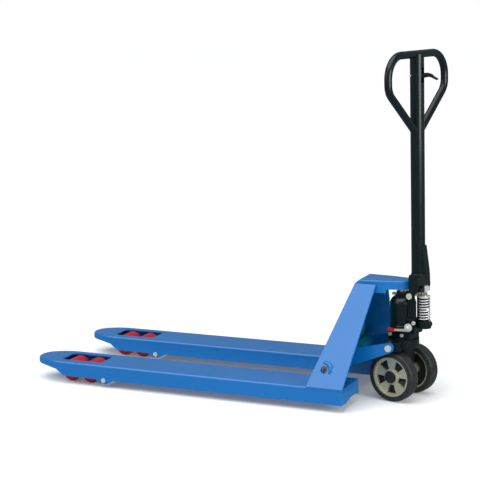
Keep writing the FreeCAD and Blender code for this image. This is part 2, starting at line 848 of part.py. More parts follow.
def spring_shape():
    """A closed coil of round wire about the plunger."""
    wire = cell("spring_wire") / 2
    turns = cell("spring_turns")
    height = cell("spring_high") - cell("spring_low") - 2 * wire - 0.4
    radius = cell("spring_radius")
    helix = Part.makeHelix(height / turns, height, radius)
    start = Vector(radius, 0, 0)
    section = Part.Wire([Part.makeCircle(wire, start, Vector(0, 1, height / turns / (2 * math.pi * radius)))])
    coil = add("Part::Feature")
    coil.Shape = Part.Wire(helix.Edges).makePipeShell([section], True, True)
    return coil


spring_local = Placement(Vector(cell("plunger_x"), 0, cell("spring_low") + cell("spring_wire") / 2 + 0.2), Rotation())
name_node("plunger_spring", spring_shape(), "pump", spring_local)

# foot of the release: a lever on the side of the pump
release = fuse(
    rod("y", 14.5, -53.5, -48.5, "pivot_x", 268),
    plate("XZ", [(52, 254), (52, 263), (-20, 254.5), (-20, 248.5)], -53, -49),
)
name_node("release_lever", cut(release, rod("y", "5 + running_gap", -60, -40, "pivot_x", 268)), "pump")
tip = cut(
    block((-29, -3), (-54.5, -48), (247, 257.8)),
    plate("XZ", [(52, 254), (52, 263), (-20, 254.5), (-20, 248.5)], -53, -49),
)
name_node("release_tip", tip, "pump")
name_node(
    "release_pin",
    fuse(rod("y", 5, -56, -30, "pivot_x", 268), rod("y", 7, -57, -54, "pivot_x", 268)),
    "pump",
)

# ---------------------------------------------------------------- handle, in the pump frame


def handle_socket_shape():
    """The handle's cast foot: side arms on the pivot, cheeks for the cam roller, and a seat for the tube."""
    outline_points = [(45, -24), (48, -42), (86, -42), (96, -24), (96, 24), (86, 42), (48, 42), (45, 24)]
    head = soften(plate("XY", outline_points, 418, 447), 5, lambda at, edge: abs(at.z - 432.5) < 1)
    pivot = (cell("pivot_x"), cell("pivot_z"))
    web_points = [(48.5, 384), (59, 373), (86, 398), (88, 420), (50, 420)]
    sides = []
    for low, high in ((-41, -33.3), (33.3, 41)):
        sides.append(fuse(rod("y", 12, low, high, *pivot), plate("XZ", web_points, low, high)))
    cheeks = [block((66, 96), (low, high), (393, 420)) for low, high in ((-23, -14.5), (14.5, 23))]
    ribs = [block((66, 78), (low, high), (404, 420)) for low, high in ((-35, -20), (20, 35))]
    pivot_bore = rod("y", "pivot_radius + running_gap", -60, 60, *pivot)
    cam_bore = rod("y", 5, -50, 50, "plunger_x", "cam_z")
    return cut(fuse(head, *sides, *cheeks, *ribs), pivot_bore, cam_bore)


def handle_tube_shape():
    """A round tube with a mouth in its rear wall for the finger lever, saddled under the loop's top bar."""
    pipe = tube("z", "tube_radius", "tube_radius - tube_wall", "tube_low", "loop_top", "tube_x", 0)
    mouth = block(("tube_x", "tube_x + 40"), (-8, 8), ("trigger_z - 24", "trigger_z + 26"))
    bar = rod("y", "loop_radius", -60, 60, "tube_x", "loop_top")
    pin_holes = rod("y", 3, -40, 40, "trigger_x", "trigger_z")
    return cut(pipe, mouth, bar, pin_holes)


def rounded_path(points, radii):
    """Straight runs joined by tangent arcs."""
    edges = []
    start = points[0]
    for index, radius in enumerate(radii, start=1):
        corner = points[index]
        before = (points[index - 1] - corner).normalize()
        after = (points[index + 1] - corner).normalize()
        half = before.getAngle(after) / 2
        reach = radius / math.tan(half)
        first = corner + before * reach
        last = corner + after * reach
        inward = (before + after).normalize()
        middle = corner + inward * (radius / math.sin(half) - radius)
        edges.append(Part.LineSegment(start, first).toShape())
        edges.append(Part.Arc(first, middle, last).toShape())
        start = last
    edges.append(Part.LineSegment(start, points[-1]).toShape())
    return Part.Wire(edges)


def handle_loop_shape():
    """The bent grip: a top bar, rounded shoulders, and two legs that run in to the tube."""
    half, top = cell("loop_half"), cell("loop_top")
    waist, foot = cell("loop_waist"), cell("loop_foot")
    x = cell("tube_x")
    points = [
        Vector(x, -16, foot),
        Vector(x, -half, waist),
        Vector(x, -half, top),
        Vector(x, half, top),
        Vector(x, half, waist),
        Vector(x, 16, foot),
    ]
    path = rounded_path(points, (55, 78, 78, 55))
    direction = points[1] - points[0]
    solids = []
    for radius in (cell("loop_radius"), cell("loop_radius") - 2.6):
        section = Part.Wire([Part.makeCircle(radius, points[0], direction)])
        solids.append(path.makePipeShell([section], True, True))
    loop = add("Part::Feature")
    loop.Shape = solids[0].cut(solids[1])
    clear_of_tube = rod("z", "tube_radius", 900, 1100, "tube_x", 0)
    return cut(loop, clear_of_tube)


def gusset_shape():
    """A folded stiffener behind the tube, widening down to the socket."""
    points = [(78, 452), (102.5, 452), (101.5, 468), (89.5, 555), (78, 555)]
    return cut(plate("XZ", points, -14, 14), rod("z", "tube_radius", 440, 600, "tube_x", 0))


name_node("handle_socket", handle_socket_shape(), "pump")
name_node(
    "socket_plate",
    cut(rod("z", 38.5, 447, "tube_low", "tube_x", 0), block((0, "bonnet_nose_radius + 10.5"), (-60, 60), (440, 460))),
    "pump",
)
name_node("handle_tube", handle_tube_shape(), "pump")
name_node("handle_loop", handle_loop_shape(), "pump")
name_node("handle_gusset", gusset_shape(), "pump")
name_node(
    "handle_pivot_pin",
    fuse(
        rod("y", "pivot_radius", -44, 44, "pivot_x", "pivot_z"),
        rod("y", 10.5, -46, -41.2, "pivot_x", "pivot_z"),
        rod("y", 10.5, 41.2, 46, "pivot_x", "pivot_z"),
    ),
    "pump",
)
name_node("cam_pin", group(rod("y", 5, -25, 25, "plunger_x", "cam_z")), "pump")
name_node("cam_roller", tube("y", "cam_radius", "5 + running_gap", -13, 13, "plunger_x", "cam_z"), "pump")


def finger_lever_shape():
    """A bent finger plate: an eye on its pin inside the tube, out through the mouth, and down at the tip."""
    x, z = cell("trigger_x"), cell("trigger_z")
    points = [
        (x - 2, z + 6),
        (x + 38, z + 8),
        (x + 62, z + 7, x + 50, z + 9),
        (x + 76, z - 1, x + 70, z + 4),
        (x + 94, z - 11),
        (x + 91, z - 15),
        (x + 70, z - 6),
        (x + 44, z - 8, x + 58, z - 5),
        (x - 2, z - 6),
    ]
    eye = rod("y", 6, -5, 5, x, z)
    return cut(fuse(plate("XZ", points, -5, 5), eye), rod("y", "3 + running_gap", -20, 20, x, z))


name_node("finger_lever", finger_lever_shape(), "pump")
name_node("finger_lever_pin", group(rod("y", 3, -26, 26, "trigger_x", "trigger_z")), "pump")
name_node("release_rod", group(rod("z", 3, 470, "trigger_z - 9", "chain_x", 0)), "pump")

# ---------------------------------------------------------------- check and write

doc.recompute()
broken = [thing.Name for thing in doc.Objects if "Invalid" in thing.State or "Error" in thing.State]
if broken:
    raise RuntimeError(f"these objects failed: {broken}")

os.makedirs("parts", exist_ok=True)
for name in os.listdir("parts"):
    os.remove(os.path.join("parts", name))
whole = FreeCAD.BoundBox()
for name, thing in NODES.items():
    shape = thing.Shape
    if shape.isNull() or not shape.isValid() or shape.Volume < 1:
        raise RuntimeError(f"{name} has no valid solid")
    shape.exportStep(f"parts/{name}.step")
    whole.add(shape.BoundBox)
print(len(NODES), "sub-parts")
print("box x", round(whole.XMin, 3), round(whole.XMax, 3), "y", round(whole.YMin, 3), round(whole.YMax, 3))
print("box z", round(whole.ZMin, 3), round(whole.ZMax, 3))
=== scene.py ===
# %% [markdown]
# # A hand pallet truck
#
# Two pressed forks ride on small red load rollers at the front. At the back a steel frame rests on a
# hydraulic pump, which stands between two steered wheels and carries the long pump handle.
#
# The shapes come from the CAD model, which is loaded as a fixed frame. Blender adds the finishes, the
# weld beads, the screws and the moulded tyres, and then a camera and some studio light.
# Lengths are in metres. +X runs from the fork tips to the handle, and +Z is up.

# %% Load the frame
import json
import math

import bmesh
import bpy
import numpy as np
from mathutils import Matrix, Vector


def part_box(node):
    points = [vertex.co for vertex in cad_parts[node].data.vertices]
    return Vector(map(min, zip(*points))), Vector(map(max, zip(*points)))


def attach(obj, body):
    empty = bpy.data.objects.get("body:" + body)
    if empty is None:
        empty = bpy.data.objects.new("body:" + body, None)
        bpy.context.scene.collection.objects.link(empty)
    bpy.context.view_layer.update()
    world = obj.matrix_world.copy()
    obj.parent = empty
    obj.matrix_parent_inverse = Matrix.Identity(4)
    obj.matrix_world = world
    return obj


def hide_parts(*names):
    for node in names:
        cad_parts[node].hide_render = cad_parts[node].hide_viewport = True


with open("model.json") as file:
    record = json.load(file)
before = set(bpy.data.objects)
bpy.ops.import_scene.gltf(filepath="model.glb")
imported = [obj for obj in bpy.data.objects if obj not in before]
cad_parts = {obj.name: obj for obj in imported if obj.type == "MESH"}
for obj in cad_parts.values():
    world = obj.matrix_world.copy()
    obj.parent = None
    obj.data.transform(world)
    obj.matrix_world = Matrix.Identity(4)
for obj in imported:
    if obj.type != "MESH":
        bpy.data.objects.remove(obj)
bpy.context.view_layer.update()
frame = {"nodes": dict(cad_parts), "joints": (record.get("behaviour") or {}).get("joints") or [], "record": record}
NODES = frame["nodes"]
JOINTS = {joint["name"]: joint for joint in frame["joints"]}
UP = Vector((0, 0, 1))
MM = 0.001

# %% [markdown]
# ## Where things are
#
# Two origins are handy. The frame and forks are described from the rocker shaft, which crosses the truck
# low down in the frame. The pump, wheels and handle are described from the steering axis, in directions
# that turn with the pump: forward to the handle, and across to the wheels. Both come from the joints.

# %% Two places to measure from
SHAFT = Vector(JOINTS["rocker_turn"]["pos_m"])
STEER = Vector(JOINTS["steer"]["pos_m"])
ACROSS = Vector(JOINTS["handle_tilt"]["axis"])
FORWARD = ACROSS.cross(UP)


def on_pump(forward, across, height):
    """A place on the pump: millimetres from the steering axis along the pump's own directions, and up."""
    ground = Vector((STEER.x, STEER.y, 0))
    return ground + (FORWARD * forward + ACROSS * across + UP * height) * MM


print("the pump is turned by", round(math.degrees(math.atan2(ACROSS.x, ACROSS.y)), 1), "degrees")

# %% [markdown]
# ## The camera and the light
#
# The truck is seen from its left and a little from the handle's end, from about shoulder height and through
# a long lens, so its edges stay nearly parallel. The studio is white to the eye, but a glossy black tube
# stays black only if little light reaches it from the sides. So the surround that lights the truck is dim
# and a little cool. A very wide sun lamp stands in for the white ceiling, a softbox in front models the
# sides, and a window behind the handle lights the faces that look that way.

# %% Camera
CAMERA_PLACE = Vector((2.18006, -4.50203, 1.42617))
CAMERA_TURN = math.radians(25.871)
CAMERA_RISE = math.radians(10.105)
CAMERA_ROLL = math.radians(-1.724)
CAMERA_LENS = 102.93
SENSOR = 36.0


def look(turn, rise, roll):
    """The camera's own axes: right, up and back. The back axis points from the object to the camera."""
    back = Vector((math.sin(turn) * math.cos(rise), -math.cos(turn) * math.cos(rise), math.sin(rise)))
    level = Vector((math.cos(turn), math.sin(turn), 0))
    upright = back.cross(level)
    right = level * math.cos(roll) + upright * math.sin(roll)
    return right, back.cross(right), back


camera_data = bpy.data.cameras.new("camera")
camera_data.lens = CAMERA_LENS
camera_data.sensor_width = SENSOR
camera = bpy.data.objects.new("camera", camera_data)
bpy.context.scene.collection.objects.link(camera)
turned = camera.matrix_world.copy()
for column, axis in enumerate(look(CAMERA_TURN, CAMERA_RISE, CAMERA_ROLL)):
    turned.col[column] = (*axis, 0)
turned.col[3] = (*CAMERA_PLACE, 1)
camera.matrix_world = turned
bpy.context.scene.camera = camera

# %% Studio
BACKDROP = 1.0
SURROUND = 0.24
LAMPS = {
    "ceiling": ("SUN", (-0.5, -0.9, 3.0), (0, 0, 0), {"energy": 2.5, "angle": math.radians(70)}),
    "softbox": ("AREA", (-2.2, -3.6, 2.4), (0.2, 0, 0.3), {"energy": 22, "size": 1.8}),
    "window": ("AREA", (3.2, -1.2, 1.3), (0.3, 0, 0.3), {"energy": 45, "size": 1.6}),
}

world = bpy.data.worlds.new("studio")
bpy.context.scene.world = world
world.use_nodes = True
surround = world.node_tree.nodes["Background"]
backdrop = world.node_tree.nodes.new("ShaderNodeBackground")
seen = world.node_tree.nodes.new("ShaderNodeLightPath")
chosen = world.node_tree.nodes.new("ShaderNodeMixShader")
surround.inputs["Color"].default_value = (0.86, 0.96, 1.0, 1)
surround.inputs["Strength"].default_value = SURROUND
backdrop.inputs["Color"].default_value = (1, 1, 1, 1)
backdrop.inputs["Strength"].default_value = BACKDROP
wires = world.node_tree.links
wires.new(seen.outputs["Is Camera Ray"], chosen.inputs[0])
wires.new(surround.outputs[0], chosen.inputs[1])
wires.new(backdrop.outputs[0], chosen.inputs[2])
wires.new(chosen.outputs[0], world.node_tree.nodes["World Output"].inputs["Surface"])
bpy.context.scene.view_settings.view_transform = "Standard"

for name, (kind, place, target, settings) in LAMPS.items():
    lamp = bpy.data.lights.new(name, kind)
    for setting, amount in settings.items():
        setattr(lamp, setting, amount)
    holder = bpy.data.objects.new(name, lamp)
    holder.location = place
    holder.rotation_euler = (Vector(target) - Vector(place)).to_track_quat("-Z", "Y").to_euler()
    bpy.context.scene.collection.objects.link(holder)

# %% [markdown]
# ## Shader maths as plain sums
#
# A finish is a small network of nodes. Drawing such a network by hand is slow, and so is writing it link by
# link. Here a `Value` wraps one socket, and the usual operators add the Math nodes, so a mask reads as
# `1 - wear * 0.5`. A `Finish` is one material, with short ways to add a noise, a ramp or a mix.


# %% Value: a number that varies over a surface
class Value:
    """An output socket of a finish. Sums and products of values add Math nodes to its tree."""

    def __init__(self, finish, socket):
        self.finish = finish
        self.socket = socket

    def maths(self, operation, *terms):
        return self.finish.node("ShaderNodeMath", {"operation": operation}, dict(enumerate(terms)))

    def __add__(self, other):
        return self.maths("ADD", self, other)

    def __sub__(self, other):
        return self.maths("SUBTRACT", self, other)

    def __rsub__(self, other):
        return self.maths("SUBTRACT", other, self)

    def __mul__(self, other):
        return self.maths("MULTIPLY", self, other)

    __radd__ = __add__
    __rmul__ = __mul__


# %% Finish: one material
class Finish:
    """A material with a Principled shader, whose constants are set on the shader's own sockets."""

    def __init__(self, name, **constants):
        self.material = bpy.data.materials.new(name)
        self.material.use_nodes = True
        self.tree = self.material.node_tree
        self.shader = self.tree.nodes["Principled BSDF"]
        for socket, amount in constants.items():
            self.shader.inputs[socket.replace("_", " ")].default_value = amount

    def node(self, kind, settings=None, values=None, output=0):
        """Adds a node: its settings first, then the numbers or links of its input sockets."""
        made = self.tree.nodes.new(kind)
        for setting, choice in (settings or {}).items():
            if setting == "stops":
                self.set_stops(made.color_ramp, choice)
            else:
                setattr(made, setting, choice)
        for socket, amount in (values or {}).items():
            self.put(made.inputs[socket], amount)
        return Value(self, made.outputs[output])

    def put(self, socket, amount):
        if isinstance(amount, Value):
            self.tree.links.new(amount.socket, socket)
        else:
            socket.default_value = amount

    def set_stops(self, ramp, stops):
        while len(ramp.elements) < len(stops):
            ramp.elements.new(1)
        for element, (place, level) in zip(ramp.elements, stops):
            element.position = place
            element.color = (level, level, level, 1)

    def feed(self, **inputs):
        for socket, amount in inputs.items():
            self.put(self.shader.inputs[socket.replace("_", " ")], amount)

    def place(self, stretch=(1, 1, 1)):
        """The point on the piece, in metres, with each axis stretched."""
        point = self.node("ShaderNodeTexCoord", output="Object")
        return self.node("ShaderNodeMapping", values={"Vector": point, "Scale": stretch})

    def noise(self, size, detail=3, stretch=(1, 1, 1)):
        """Soft random patches about this many metres across, from 0 to 1."""
        values = {"Vector": self.place(stretch), "Scale": 1 / size, "Detail": detail}
        return self.node("ShaderNodeTexNoise", values=values)

    def ramp(self, value, *stops):
        return self.node("ShaderNodeValToRGB", {"stops": stops}, {"Fac": value})

    def blend(self, share, first, second):
        """The first colour where share is 0, and the second where it is 1."""
        values = {0: share, 6: first, 7: second}
        return self.node("ShaderNodeMix", {"data_type": "RGBA"}, values, output=2)

    def edges(self, radius):
        """1 along sharp edges and 0 on the flats: where a rounded edge's normal leaves the real one."""
        rounded = self.node("ShaderNodeBevel", {"samples": 4}, {"Radius": radius})
        both = {0: rounded, 1: self.facing()}
        same = self.node("ShaderNodeVectorMath", {"operation": "DOT_PRODUCT"}, both, "Value")
        return self.ramp(1 - same, (0.01, 0), (0.12, 1))

    def facing(self):
        """The direction that the surface looks in."""
        return self.node("ShaderNodeNewGeometry", output="Normal")

    def facing_up(self):
        """1 on surfaces that face the sky, where dust settles, and 0 on walls."""
        height = self.node("ShaderNodeSeparateXYZ", values={0: self.facing()}, output=2)
        return self.ramp(height, (0.6, 0), (0.98, 1))

    def relief(self, height, depth, edge=0.0):
        """A bump of this many metres for a height of 1, over edges rounded by this radius."""
        values = {"Height": height, "Distance": depth, "Strength": 1.0}
        if edge:
            values["Normal"] = self.node("ShaderNodeBevel", {"samples": 4}, {"Radius": edge})
        self.feed(Normal=self.node("ShaderNodeBump", values=values))


def colour(red, green, blue):
    return (red, green, blue, 1.0)


# %% [markdown]
# ## Blue gloss paint
#
# The forks, frame and linkage are powder-coated. Such paint is smooth but never flat: it has a fine orange
# peel a few millimetres across, it is a touch thinner and paler on sharp edges, and a film of dust dulls the
# faces that look up. A clear coat gives the crisp highlight above the softer colour.


# %% Painted steel
def painted(name, deep, pale, gloss, peel=25e-6, edge=1.2 * MM, coat=0.4, rear_shade=None):
    """Coated steel: a colour between deep and pale in slow patches, paler worn edges, and orange peel.

    Where the last argument is given, faces that look to the rear take that colour: painted shade, a darker
    teal blue that stands in for the shade and bounce light inside the frame.
    """
    paint = Finish(name, Coat_Roughness=0.06, Specular_IOR_Level=0.4)
    patches = paint.noise(0.11)
    fine = paint.noise(0.004, detail=2)
    worn = paint.edges(edge) * paint.ramp(paint.noise(0.02), (0.4, 0), (0.75, 1))
    dust = paint.facing_up() * paint.ramp(paint.noise(0.05, detail=6), (0.35, 0), (0.9, 1))
    base = paint.blend(patches, deep, pale)
    if rear_shade:
        # Painted shade: faces that look towards +X, into the frame's shaded inside, are blended to the shade
        # colour.
        rearward = paint.node("ShaderNodeSeparateXYZ", values={0: paint.facing()}, output=0)
        base = paint.blend(paint.ramp(rearward, (0.5, 0), (0.8, 1)), base, rear_shade)
    edged = paint.blend(worn * 0.35, base, colour(*(0.8 * part + 0.05 for part in pale[:3])))
    dusty = paint.blend(dust * 0.06, edged, colour(0.6, 0.6, 0.58))
    paint.feed(
        Base_Color=dusty,
        Roughness=gloss + patches * 0.06 + dust * 0.12,
        Coat_Weight=coat - dust * (coat * 0.5),
    )
    paint.relief(fine, peel, edge)
    return paint.material


DEEP_BLUE = colour(0.0, 0.138, 0.44)
PALE_BLUE = colour(0.0, 0.158, 0.50)
# Painted shade: a darker teal blue for the frame's inner faces, standing in for their shade and blue bounce light.
SHADE_TEAL = colour(0.0, 0.32, 0.26)
blue_paint = painted("blue_paint", DEEP_BLUE, PALE_BLUE, 0.26)
# Painted shade: the blue paint with its rear-facing faces in the shade colour.
shaded_side_paint = painted("shaded_side_paint", DEEP_BLUE, PALE_BLUE, 0.34, rear_shade=SHADE_TEAL)

# %% [markdown]
# ## Black enamel
#
# The pump is a casting, and its black enamel lies over the sand's grain. The tube and the loop are drawn
# steel, so theirs is smooth and mirrors the room in long streaks.

# %% Black finishes
BLACK = colour(0.0004, 0.0045, 0.0055)
WORN_BLACK = colour(0.002, 0.009, 0.011)
black_enamel = painted("black_enamel", BLACK, WORN_BLACK, 0.24, peel=10e-6, coat=0.12)


def cast_enamel():
    """Enamel over a sand casting: a coarse grain under fine pits, duller in the hollows."""
    cast = Finish("cast_enamel", Coat_Roughness=0.12, Specular_IOR_Level=0.35)
    grain = cast.noise(0.0025, detail=4)
    patches = cast.noise(0.03)
    worn = cast.edges(1.5 * MM) * cast.ramp(cast.noise(0.01), (0.45, 0), (0.7, 1))
    base = cast.blend(patches, BLACK, WORN_BLACK)
    cast.feed(
        Base_Color=cast.blend(worn * 0.4, base, colour(0.06, 0.065, 0.07)),
        Roughness=0.28 + grain * 0.14,
        Coat_Weight=0.1 + patches * 0.2,
    )
    cast.relief(grain, 90e-6, 1.5 * MM)
    return cast.material


cast_black = cast_enamel()

# %% [markdown]
# ## Bare and plated metal
#
# The pins, the release lever and the socket's plate are zinc plated: pale, satin and faintly cloudy. The
# shaft, axle and spring are plain steel with the fine lines that turning leaves. The ram and the plunger
# are hard chromed, so they are as smooth as a mirror with only a few wiping marks along them.


# %% Metals
def metal(name, dark, light, smooth, rough, grain, stretch=(1, 1, 1), bare=1.0, depth=4e-6, edge=0.5 * MM):
    """Metal: a cloudy colour, a grain that may be stretched into lines, and rounded bright edges.

    A bare share under 1 is for plating, whose dull surface scatters part of the light as paint does.
    """
    made = Finish(name, Metallic=bare)
    clouds = made.noise(0.012, detail=4)
    lines = made.noise(grain, detail=2, stretch=stretch)
    base = made.blend(clouds, dark, light)
    made.feed(
        Base_Color=made.blend(made.edges(edge) * 0.5, base, colour(0.9, 0.9, 0.88)),
        Roughness=smooth + lines * (rough - smooth),
    )
    made.relief(lines, depth, edge)
    return made.material


zinc = metal("zinc", colour(0.62, 0.62, 0.56), colour(0.86, 0.86, 0.78), 0.2, 0.42, 0.0015, bare=0.45)
steel = metal("steel", colour(0.42, 0.42, 0.42), colour(0.62, 0.62, 0.61), 0.18, 0.4, 0.001, (1, 1, 4))
bright, brightest = colour(0.70, 0.71, 0.70), colour(0.92, 0.92, 0.90)
spring_steel = metal("spring_steel", bright, brightest, 0.12, 0.3, 0.0008, bare=0.5)
chrome = metal("chrome", colour(0.72, 0.72, 0.73), colour(0.82, 0.82, 0.83), 0.03, 0.12, 0.002, (1, 1, 0.1))

# %% [markdown]
# ## The cast wheels
#
# The rims are aluminium castings with a yellow-green cast to the metal. Their faces are turned on a lathe,
# which leaves rings about the axle, so the pattern is drawn from the distance to the wheel's own axis.


# %% Aluminium
def from_axis(finish, centre, axis):
    """The distance of a point from an axis, in metres: the length of its offset across the axis."""
    offset = finish.node("ShaderNodeVectorMath", {"operation": "SUBTRACT"}, {0: finish.place(), 1: centre})
    across = finish.node("ShaderNodeVectorMath", {"operation": "CROSS_PRODUCT"}, {0: offset, 1: axis})
    return finish.node("ShaderNodeVectorMath", {"operation": "LENGTH"}, {0: across}, "Value")


def turned_aluminium(side):
    """Cast aluminium, faced on a lathe: rings 0.8 mm apart, and darker where the casting is rough."""
    wheel = JOINTS[f"steer_wheel_{side}_spin"]
    cast = Finish(f"aluminium_{side}", Metallic=0.6)
    radius = from_axis(cast, wheel["pos_m"], wheel["axis"])
    rings = (radius * (2 * math.pi / (0.8 * MM))).maths("SINE", radius * (2 * math.pi / (0.8 * MM)))
    patches = cast.noise(0.008, detail=5)
    base = cast.blend(patches, colour(0.50, 0.50, 0.36), colour(0.74, 0.74, 0.54))
    cast.feed(
        Base_Color=cast.blend(cast.edges(1.0 * MM) * 0.6, base, colour(0.85, 0.86, 0.74)),
        Roughness=0.30 + patches * 0.16,
    )
    cast.relief(rings * 0.5 + patches, 12e-6, 1.0 * MM)
    return cast.material


# %% [markdown]
# ## Rubber, polyurethane and plastic
#
# The steering tyres are solid rubber, near black with a grey bloom, and scuffed along the tread. The load
# rollers have a red polyurethane tyre on a steel core. They are one CAD node, so their finish changes from
# one to the other at the core's radius.


# %% Rubber
def tyre_rubber():
    """Solid black rubber with a grey bloom in patches and a fine moulded grain."""
    rubber = Finish("tyre_rubber", Specular_IOR_Level=0.4)
    bloom = rubber.ramp(rubber.noise(0.02, detail=6), (0.35, 0), (0.8, 1))
    grain = rubber.noise(0.0012, detail=2)
    rubber.feed(
        Base_Color=rubber.blend(bloom, colour(0.014, 0.016, 0.015), colour(0.035, 0.040, 0.036)),
        Roughness=0.38 + bloom * 0.2,
    )
    rubber.relief(grain + bloom, 30e-6)
    return rubber.material


# %% Load roller: red tyre, steel core
CORE_RADIUS = 25.5 * MM


def roller_finish(name):
    """Red polyurethane outside the core's radius and turned steel inside it."""
    roller = JOINTS[f"{name}_spin"]
    made = Finish(f"{name}_finish", IOR=1.5)
    radius = from_axis(made, roller["pos_m"], roller["axis"])
    tyre = made.ramp(radius * (0.5 / CORE_RADIUS), (0.495, 0), (0.505, 1))
    scuffs = made.ramp(made.noise(0.015, detail=6), (0.5, 0), (0.8, 1))
    red = made.blend(scuffs * 0.4, colour(0.48, 0.004, 0.022), colour(0.28, 0.012, 0.02))
    made.feed(
        Base_Color=made.blend(tyre, colour(0.5, 0.5, 0.5), red),
        Metallic=1 - tyre,
        Roughness=0.3 + scuffs * 0.2,
    )
    made.relief(scuffs, 40e-6, 1.0 * MM)
    return made.material


# %% Plastics
def moulded(name, dark, light, rough):
    """Moulded plastic: nearly even, with a fine spark-eroded grain and softly rounded edges."""
    plastic = Finish(name, IOR=1.46)
    grain = plastic.noise(0.0008, detail=2)
    patches = plastic.noise(0.02)
    plastic.feed(Base_Color=plastic.blend(patches, dark, light), Roughness=rough + grain * 0.1)
    plastic.relief(grain, 15e-6, 0.8 * MM)
    return plastic.material


black_plastic = moulded("black_plastic", colour(0.010, 0.010, 0.011), colour(0.020, 0.020, 0.022), 0.3)
red_plastic = moulded("red_plastic", colour(0.55, 0.02, 0.015), colour(0.68, 0.035, 0.02), 0.22)
rubber = tyre_rubber()

# %% [markdown]
# ## Each CAD piece gets its finish
#
# The record names a material slot for each node. One table turns slots into finishes, and a second one
# holds the few pieces that differ from their slot: the smooth tubes, the bright spring, and the rims and
# rollers whose patterns turn about their own axes.

# %% Assign the finishes
FINISH_OF_SLOT = {
    "blue_paint": blue_paint,
    "black_paint": cast_black,
    "zinc": zinc,
    "steel": steel,
    "chrome": chrome,
    "black_tyre": rubber,
    "black_plastic": black_plastic,
    "red_plastic": red_plastic,
}
FINISH_OF_NODE = {
    "handle_tube": black_enamel,
    "handle_loop": black_enamel,
    "handle_gusset": black_enamel,
    "reservoir": black_enamel,
    "finger_lever": black_enamel,
    "plunger_spring": spring_steel,
    "cam_roller": spring_steel,
    # Painted shade: the front plate and the right pillar get the paint whose rear-facing faces carry the shade
    # colour.
    "front_plate": shaded_side_paint,
    "pillar_right": shaded_side_paint,
    "yoke": cast_black,
    "thrust_bearing": cast_black,
    "socket_plate": cast_black,
}
for side in ("left", "right"):
    FINISH_OF_NODE[f"steer_rim_{side}"] = turned_aluminium(side)
    for row in ("front", "rear"):
        roller_name = f"load_roller_{row}_{side}"
        FINISH_OF_NODE[roller_name] = roller_finish(roller_name)

SLOT_OF_NODE = {part["node"]: part["material_slot"] for part in frame["record"]["subparts"]}
for name, node in NODES.items():
    node.data.materials.clear()
    node.data.materials.append(FINISH_OF_NODE.get(name) or FINISH_OF_SLOT[SLOT_OF_NODE[name]])
print(len(NODES), "CAD nodes have a finish")

# %% [markdown]
# ## New pieces as surfaces
#
# Every new piece here is a grid: a function of two parameters, worked out as one array. The grid becomes
# quads, its seams and poles are merged, and its faces are turned outwards. Turned parts carry a profile
# round an axis. Weld beads carry a rippled circle along a line or round a ring.


# %% A grid of points becomes a closed mesh
def quads(rows, columns, close_rows):
    """The corner numbers of each cell in a grid that wraps round along its columns."""
    index = np.arange(rows * columns).reshape(rows, columns)
    if close_rows:
        index = np.vstack([index, index[:1]])
    after = np.roll(index, -1, axis=1)
    cells = np.stack([index[:-1], after[:-1], after[1:], index[1:]], axis=-1)
    return cells.reshape(-1, 4)


def piece(name, grids, body, finish, close_rows=False):
    """Makes one object of (rows, columns, 3) grids, merges seams and poles, and puts it on a body."""
    points, faces, count = [], [], 0
    for grid in grids:
        rows, columns = grid.shape[:2]
        points.append(grid.reshape(-1, 3))
        faces.append(quads(rows, columns, close_rows) + count)
        count += rows * columns
    mesh = bpy.data.meshes.new(name)
    mesh.from_pydata(np.vstack(points).tolist(), [], np.vstack(faces).tolist())
    tidy = bmesh.new()
    tidy.from_mesh(mesh)
    bmesh.ops.remove_doubles(tidy, verts=tidy.verts, dist=1e-6)
    bmesh.ops.recalc_face_normals(tidy, faces=tidy.faces)
    tidy.to_mesh(mesh)
    tidy.free()
    mesh.shade_smooth()
    mesh.set_sharp_from_angle(angle=math.radians(35))
    mesh.materials.append(finish)
    made = bpy.data.objects.new(name, mesh)
    bpy.context.scene.collection.objects.link(made)
    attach(made, body)
    print(name, len(mesh.polygons), "faces")
    return made


def side_axes(axis):
    """Two directions square to an axis and to each other."""
    helper = UP if abs(axis.normalized().dot(UP)) < 0.9 else Vector((1, 0, 0))
    first = axis.cross(helper).normalized()
    return first, axis.cross(first).normalized()


def turned_shape(profile, centre, axis, columns=64, flats=0):
    """A profile of (radius, distance along the axis) in millimetres, carried round the axis.

    A point is the centre, plus the distance along the axis, plus the radius in the direction of the angle.
    Rows whose radius is negative are hexagonal: that radius is held on the flats, not on the corners.
    """
    first, second = side_axes(axis)
    angle = np.arange(columns) * 2 * np.pi / columns
    radius, along = np.array(profile, float).T
    ring = np.repeat(np.abs(radius)[:, None], columns, axis=1)
    if flats:
        sector = 2 * np.pi / flats
        flat = 1 / np.cos((angle + sector / 2) % sector - sector / 2)
        ring = np.where(radius[:, None] < 0, ring * flat[None], ring)
    outward = np.cos(angle)[:, None] * np.array(first) + np.sin(angle)[:, None] * np.array(second)
    spine = np.array(centre) + along[:, None] * MM * np.array(axis.normalized())
    return spine[:, None] + ring[..., None] * MM * outward[None]


# %% [markdown]
# ## Steering tyres
#
# The CAD tyre is a plain ring with rounded shoulders. A real one is moulded: its tread is slightly crowned,
# its sidewall has a raised bead by the rim and a shallow step, and a thin parting line runs round the
# middle of the tread. All of that is one profile turned about the axle.

